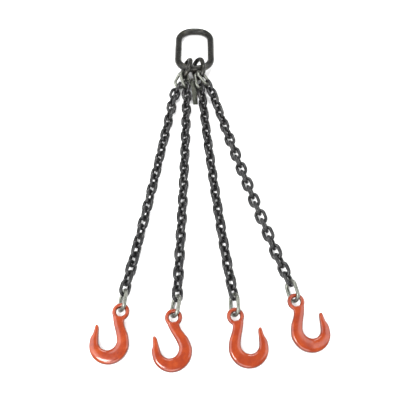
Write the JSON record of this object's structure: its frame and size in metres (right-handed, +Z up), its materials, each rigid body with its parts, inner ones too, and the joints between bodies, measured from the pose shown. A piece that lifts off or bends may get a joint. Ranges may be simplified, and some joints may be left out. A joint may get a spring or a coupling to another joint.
{
  "type": "four leg chain sling",
  "caption": "Chain sling with a master link, sub links, coupling links, short link chain legs, eye hooks and an identification tag, lying loosely spread.",
  "frame": {"origin": "on the floor under the middle of the sling's bounding box as it lies", "axes": "+X to the right across the legs, +Y from the hooks to the master link, +Z up from the floor"},
  "size_m": [0.5986, 1.1782, 0.0592],
  "materials": {
    "black_oxide_bar": "black oxide on forged steel, satin, faint olive cast",
    "black_chain": "black heat treated chain steel, satin",
    "bright_zinc": "zinc plated steel, slightly dull",
    "red_paint": "glossy orange red enamel",
    "tag_metal": "dull grey green metal, blank"
  },
  "bodies": {
    "hook_1": {"hook_1": "red_paint"},
    "hook_2": {"hook_2": "red_paint"},
    "hook_3": {"hook_3": "red_paint"},
    "hook_4": {"hook_4": "red_paint"},
    "id_tag": {"id_tag": "tag_metal"},
    "leg_1_chain_1": {"leg_1_chain_1": "black_chain"},
    "leg_1_chain_2": {"leg_1_chain_2": "black_chain"},
    "leg_1_chain_3": {"leg_1_chain_3": "black_chain"},
    "leg_1_chain_4": {"leg_1_chain_4": "black_chain"},
    "leg_1_chain_5": {"leg_1_chain_5": "black_chain"},
    "leg_1_chain_6": {"leg_1_chain_6": "black_chain"},
    "leg_1_chain_7": {"leg_1_chain_7": "black_chain"},
    "leg_1_chain_8": {"leg_1_chain_8": "black_chain"},
    "leg_1_chain_9": {"leg_1_chain_9": "black_chain"},
    "leg_2_chain_1": {"leg_2_chain_1": "black_chain"},
    "leg_2_chain_2": {"leg_2_chain_2": "black_chain"},
    "leg_2_chain_3": {"leg_2_chain_3": "black_chain"},
    "leg_2_chain_4": {"leg_2_chain_4": "black_chain"},
    "leg_2_chain_5": {"leg_2_chain_5": "black_chain"},
    "leg_2_chain_6": {"leg_2_chain_6": "black_chain"},
    "leg_2_chain_7": {"leg_2_chain_7": "black_chain"},
    "leg_2_chain_8": {"leg_2_chain_8": "black_chain"},
    "leg_2_chain_9": {"leg_2_chain_9": "black_chain"},
    "leg_3_chain_1": {"leg_3_chain_1": "black_chain"},
    "leg_3_chain_2": {"leg_3_chain_2": "black_chain"},
    "leg_3_chain_3": {"leg_3_chain_3": "black_chain"},
    "leg_3_chain_4": {"leg_3_chain_4": "black_chain"},
    "leg_3_chain_5": {"leg_3_chain_5": "black_chain"},
    "leg_3_chain_6": {"leg_3_chain_6": "black_chain"},
    "leg_3_chain_7": {"leg_3_chain_7": "black_chain"},
    "leg_3_chain_8": {"leg_3_chain_8": "black_chain"},
    "leg_3_chain_9": {"leg_3_chain_9": "black_chain"},
    "leg_4_chain_1": {"leg_4_chain_1": "black_chain"},
    "leg_4_chain_2": {"leg_4_chain_2": "black_chain"},
    "leg_4_chain_3": {"leg_4_chain_3": "black_chain"},
    "leg_4_chain_4": {"leg_4_chain_4": "black_chain"},
    "leg_4_chain_5": {"leg_4_chain_5": "black_chain"},
    "leg_4_chain_6": {"leg_4_chain_6": "black_chain"},
    "leg_4_chain_7": {"leg_4_chain_7": "black_chain"},
    "leg_4_chain_8": {"leg_4_chain_8": "black_chain"},
    "leg_4_chain_9": {"leg_4_chain_9": "black_chain"},
    "lower_coupling_1": {"lower_coupling_1": "bright_zinc"},
    "lower_coupling_2": {"lower_coupling_2": "bright_zinc"},
    "lower_coupling_3": {"lower_coupling_3": "bright_zinc"},
    "lower_coupling_4": {"lower_coupling_4": "bright_zinc"},
    "master_link": {"master_link": "black_oxide_bar"},
    "sub_link_left": {"sub_link_left": "black_oxide_bar"},
    "sub_link_right": {"sub_link_right": "black_oxide_bar"},
    "tag_ring": {"tag_ring": "tag_metal"},
    "upper_coupling_1": {"upper_coupling_1": "bright_zinc"},
    "upper_coupling_2": {"upper_coupling_2": "bright_zinc"},
    "upper_coupling_3": {"upper_coupling_3": "bright_zinc"},
    "upper_coupling_4": {"upper_coupling_4": "bright_zinc"}
  },
  "joints": [
    {"name": "sub_link_left_swing", "type": "hinge", "parent": "master_link", "child": "sub_link_left", "pos_m": [-0.0722, 0.3797, 0.031], "axis": [1, 0, 0], "range_deg": [-3, 1]},
    {"name": "sub_link_right_swing", "type": "hinge", "parent": "master_link", "child": "sub_link_right", "pos_m": [-0.0306, 0.3797, 0.031], "axis": [1, 0, 0], "range_deg": [-13.5, 2]},
    {"name": "coupling_1_swing", "type": "hinge", "parent": "sub_link_left", "child": "upper_coupling_1", "pos_m": [-0.08443, 0.35092, 0.01967], "axis": [0.33, -0.6098, 0.7206], "range_deg": [-43, 0.5]},
    {"name": "leg_1_swing_1", "type": "hinge", "parent": "upper_coupling_1", "child": "leg_1_chain_1", "pos_m": [-0.09496, 0.32727, 0.0172], "axis": [0.4145, -0.1437, 0.8986], "range_deg": [-40, 1]},
    {"name": "leg_1_swing_2", "type": "hinge", "parent": "leg_1_chain_1", "child": "leg_1_chain_2", "pos_m": [-0.11119, 0.27421, 0.0162], "axis": [0.5562, -0.0917, 0.826], "range_deg": [-9, 10.5]},
    {"name": "leg_1_swing_3", "type": "hinge", "parent": "leg_1_chain_2", "child": "leg_1_chain_3", "pos_m": [-0.12343, 0.19131, 0.01524], "axis": [0.6767, -0.1058, -0.7286], "range_deg": [-13.5, 10.5]},
    {"name": "leg_1_swing_4", "type": "hinge", "parent": "leg_1_chain_3", "child": "leg_1_chain_4", "pos_m": [-0.1361, 0.10848, 0.01549], "axis": [-0.8491, 0.1318, -0.5116], "range_deg": [-10.5, 10.5]},
    {"name": "leg_1_swing_5", "type": "hinge", "parent": "leg_1_chain_4", "child": "leg_1_chain_5", "pos_m": [-0.14921, 0.02571, 0.01592], "axis": [-0.4382, 0.0741, 0.8958], "range_deg": [-40, 40]},
    {"name": "leg_1_swing_6", "type": "hinge", "parent": "leg_1_chain_5", "child": "leg_1_chain_6", "pos_m": [-0.16275, -0.05699, 0.01614], "axis": [0.8987, -0.1511, 0.4116], "range_deg": [-40, 40]},
    {"name": "leg_1_swing_7", "type": "hinge", "parent": "leg_1_chain_6", "child": "leg_1_chain_7", "pos_m": [-0.17673, -0.13962, 0.01632], "axis": [0.3727, -0.0653, -0.9257], "range_deg": [-40, 40]},
    {"name": "leg_1_swing_8", "type": "hinge", "parent": "leg_1_chain_7", "child": "leg_1_chain_8", "pos_m": [-0.19114, -0.22217, 0.01634], "axis": [-0.8351, 0.1556, -0.5276], "range_deg": [-13.5, 13.5]},
    {"name": "leg_1_swing_9", "type": "hinge", "parent": "leg_1_chain_8", "child": "leg_1_chain_9", "pos_m": [-0.20597, -0.30464, 0.01551], "axis": [-0.664, 0.1546, 0.7316], "range_deg": [-18.5, 5]},
    {"name": "lower_coupling_1_swing", "type": "hinge", "parent": "leg_1_chain_9", "child": "lower_coupling_1", "pos_m": [-0.22205, -0.38472, 0.01951], "axis": [0.4981, -0.0436, 0.866], "range_deg": [-16, 40]},
    {"name": "hook_1_swing", "type": "hinge", "parent": "lower_coupling_1", "child": "hook_1", "pos_m": [-0.22673, -0.43822, 0.01951], "axis": [0.4981, -0.0436, 0.866], "range_deg": [-33, 7]},
    {"name": "coupling_2_swing", "type": "hinge", "parent": "sub_link_left", "child": "upper_coupling_2", "pos_m": [-0.07766, 0.34577, 0.03224], "axis": [0.5179, -0.0347, 0.8548], "range_deg": [-1, 1.5]},
    {"name": "leg_2_swing_1", "type": "hinge", "parent": "upper_coupling_2", "child": "leg_2_chain_1", "pos_m": [-0.07025, 0.32348, 0.02111], "axis": [0.486, -0.063, 0.8717], "range_deg": [-2.5, 2.5]},
    {"name": "leg_2_swing_2", "type": "hinge", "parent": "leg_2_chain_1", "child": "leg_2_chain_2", "pos_m": [-0.06928, 0.26817, 0.01657], "axis": [0.523, -0.0148, 0.8522], "range_deg": [-9, 16]},
    {"name": "leg_2_swing_3", "type": "hinge", "parent": "leg_2_chain_2", "child": "leg_2_chain_3", "pos_m": [-0.07001, 0.18438, 0.01557], "axis": [0.8156, -0.0075, -0.5785], "range_deg": [-40, 40]},
    {"name": "leg_2_swing_4", "type": "hinge", "parent": "leg_2_chain_3", "child": "leg_2_chain_4", "pos_m": [-0.07114, 0.10059, 0.01506], "axis": [-0.6312, 0.0161, -0.7754], "range_deg": [-40, 40]},
    {"name": "leg_2_swing_5", "type": "hinge", "parent": "leg_2_chain_4", "child": "leg_2_chain_5", "pos_m": [-0.07267, 0.01681, 0.01456], "axis": [-0.7659, 0.0164, 0.6428], "range_deg": [-40, 40]},
    {"name": "leg_2_swing_6", "type": "hinge", "parent": "leg_2_chain_5", "child": "leg_2_chain_6", "pos_m": [-0.07459, -0.06697, 0.0144], "axis": [0.6425, -0.0179, 0.766], "range_deg": [-40, 40]},
    {"name": "leg_2_swing_7", "type": "hinge", "parent": "leg_2_chain_6", "child": "leg_2_chain_7", "pos_m": [-0.07691, -0.15074, 0.01439], "axis": [0.7656, -0.0254, -0.6428], "range_deg": [-40, 40]},
    {"name": "leg_2_swing_8", "type": "hinge", "parent": "leg_2_chain_7", "child": "leg_2_chain_8", "pos_m": [-0.07962, -0.2345, 0.01446], "axis": [-0.6341, 0.0227, -0.7729], "range_deg": [-40, 40]},
    {"name": "leg_2_swing_9", "type": "hinge", "parent": "leg_2_chain_8", "child": "leg_2_chain_9", "pos_m": [-0.08274, -0.31824, 0.01455], "axis": [-0.7785, 0.0635, 0.6244], "range_deg": [-40, 40]},
    {"name": "lower_coupling_2_swing", "type": "hinge", "parent": "leg_2_chain_9", "child": "lower_coupling_2", "pos_m": [-0.08493, -0.39986, 0.0192], "axis": [0.5248, -0.0738, 0.848], "range_deg": [-40, 40]},
    {"name": "hook_2_swing", "type": "hinge", "parent": "lower_coupling_2", "child": "hook_2", "pos_m": [-0.0924, -0.45304, 0.0192], "axis": [0.5248, -0.0738, 0.848], "range_deg": [-31.5, 5]},
    {"name": "coupling_3_swing", "type": "hinge", "parent": "sub_link_right", "child": "upper_coupling_3", "pos_m": [-0.03062, 0.34715, 0.02234], "axis": [0.6029, -0.3268, 0.7278], "range_deg": [-1.5, 1.5]},
    {"name": "leg_3_swing_1", "type": "hinge", "parent": "upper_coupling_3", "child": "leg_3_chain_1", "pos_m": [-0.02688, 0.32209, 0.01649], "axis": [0.7038, 0.0749, 0.7065], "range_deg": [-4, 11]},
    {"name": "leg_3_swing_2", "type": "hinge", "parent": "leg_3_chain_1", "child": "leg_3_chain_2", "pos_m": [-0.01868, 0.26725, 0.01414], "axis": [0.7073, 0.0614, 0.7042], "range_deg": [-40, 40]},
    {"name": "leg_3_swing_3", "type": "hinge", "parent": "leg_3_chain_2", "child": "leg_3_chain_3", "pos_m": [-0.01109, 0.1838, 0.01379], "axis": [0.6966, 0.0686, -0.7142], "range_deg": [-40, 40]},
    {"name": "leg_3_swing_4", "type": "hinge", "parent": "leg_3_chain_3", "child": "leg_3_chain_4", "pos_m": [-0.00287, 0.1004, 0.0138], "axis": [-0.7144, -0.0759, -0.6956], "range_deg": [-40, 40]},
    {"name": "leg_3_swing_5", "type": "hinge", "parent": "leg_3_chain_4", "child": "leg_3_chain_5", "pos_m": [0.00597, 0.01707, 0.01381], "axis": [-0.6902, -0.0785, 0.7193], "range_deg": [-40, 40]},
    {"name": "leg_3_swing_6", "type": "hinge", "parent": "leg_3_chain_5", "child": "leg_3_chain_6", "pos_m": [0.01544, -0.0662, 0.01381], "axis": [0.7141, 0.0866, 0.6947], "range_deg": [-40, 40]},
    {"name": "leg_3_swing_7", "type": "hinge", "parent": "leg_3_chain_6", "child": "leg_3_chain_7", "pos_m": [0.02553, -0.14939, 0.01381], "axis": [0.689, 0.0888, -0.7193], "range_deg": [-40, 40]},
    {"name": "leg_3_swing_8", "type": "hinge", "parent": "leg_3_chain_7", "child": "leg_3_chain_8", "pos_m": [0.03624, -0.2325, 0.01381], "axis": [-0.6977, -0.0959, -0.7099], "range_deg": [-40, 40]},
    {"name": "leg_3_swing_9", "type": "hinge", "parent": "leg_3_chain_8", "child": "leg_3_chain_9", "pos_m": [0.04757, -0.31553, 0.01389], "axis": [-0.7248, -0.0654, 0.6858], "range_deg": [-40, 13.5]},
    {"name": "lower_coupling_3_swing", "type": "hinge", "parent": "leg_3_chain_9", "child": "lower_coupling_3", "pos_m": [0.06034, -0.39613, 0.0192], "axis": [0.5292, 0.0277, 0.848], "range_deg": [-40, 40]},
    {"name": "hook_3_swing", "type": "hinge", "parent": "lower_coupling_3", "child": "hook_3", "pos_m": [0.06315, -0.44976, 0.0192], "axis": [0.5292, 0.0277, 0.848], "range_deg": [-35, 10.5]},
    {"name": "coupling_4_swing", "type": "hinge", "parent": "sub_link_right", "child": "upper_coupling_4", "pos_m": [-0.02134, 0.34693, 0.03482], "axis": [0.5289, 0.3, 0.7939], "range_deg": [-1.5, 36]},
    {"name": "leg_4_swing_1", "type": "hinge", "parent": "upper_coupling_4", "child": "leg_4_chain_1", "pos_m": [-0.00467, 0.33132, 0.02238], "axis": [0.3781, 0.0671, 0.9233], "range_deg": [-6.5, 5]},
    {"name": "leg_4_swing_2", "type": "hinge", "parent": "leg_4_chain_1", "child": "leg_4_chain_2", "pos_m": [0.01674, 0.28037, 0.01732], "axis": [0.4984, 0.1166, 0.8591], "range_deg": [-9, 22.5]},
    {"name": "leg_4_swing_3", "type": "hinge", "parent": "leg_4_chain_2", "child": "leg_4_chain_3", "pos_m": [0.03843, 0.19945, 0.01572], "axis": [0.6934, 0.1948, -0.6937], "range_deg": [-10.5, 10.5]},
    {"name": "leg_4_swing_4", "type": "hinge", "parent": "leg_4_chain_3", "child": "leg_4_chain_4", "pos_m": [0.06072, 0.11867, 0.01533], "axis": [-0.8068, -0.2318, -0.5435], "range_deg": [-13.5, 10.5]},
    {"name": "leg_4_swing_5", "type": "hinge", "parent": "leg_4_chain_4", "child": "leg_4_chain_5", "pos_m": [0.08362, 0.03806, 0.01573], "axis": [-0.457, -0.131, 0.8798], "range_deg": [-40, 40]},
    {"name": "leg_4_swing_6", "type": "hinge", "parent": "leg_4_chain_5", "child": "leg_4_chain_6", "pos_m": [0.10712, -0.04238, 0.01595], "axis": [0.8583, 0.2588, 0.4432], "range_deg": [-40, 40]},
    {"name": "leg_4_swing_7", "type": "hinge", "parent": "leg_4_chain_6", "child": "leg_4_chain_7", "pos_m": [0.13122, -0.12264, 0.01615], "axis": [0.3922, 0.1207, -0.9119], "range_deg": [-40, 40]},
    {"name": "leg_4_swing_8", "type": "hinge", "parent": "leg_4_chain_7", "child": "leg_4_chain_8", "pos_m": [0.15592, -0.20272, 0.01617], "axis": [-0.8045, -0.2497, -0.539], "range_deg": [-13.5, 16]},
    {"name": "leg_4_swing_9", "type": "hinge", "parent": "leg_4_chain_8", "child": "leg_4_chain_9", "pos_m": [0.18122, -0.2826, 0.01541], "axis": [-0.6501, -0.1775, 0.7388], "range_deg": [-22.5, 7]},
    {"name": "lower_coupling_4_swing", "type": "hinge", "parent": "leg_4_chain_9", "child": "lower_coupling_4", "pos_m": [0.20771, -0.35988, 0.01951], "axis": [0.4891, 0.104, 0.866], "range_deg": [-40, 22.5]},
    {"name": "hook_4_swing", "type": "hinge", "parent": "lower_coupling_4", "child": "hook_4", "pos_m": [0.21888, -0.41241, 0.01951], "axis": [0.4891, 0.104, 0.866], "range_deg": [-41, 13]},
    {"name": "tag_ring_swing", "type": "hinge", "parent": "upper_coupling_2", "child": "tag_ring", "pos_m": [-0.06173, 0.33661, 0.01613], "axis": [0.2852, -0.8575, -0.4282], "range_deg": [-5, 3.5]},
    {"name": "tag_lift", "type": "hinge", "parent": "tag_ring", "child": "id_tag", "pos_m": [-0.04903, 0.33606, 0.02222], "axis": [0.9808, 0.1258, -0.149], "range_deg": [-4, 7.5]}
  ]
}
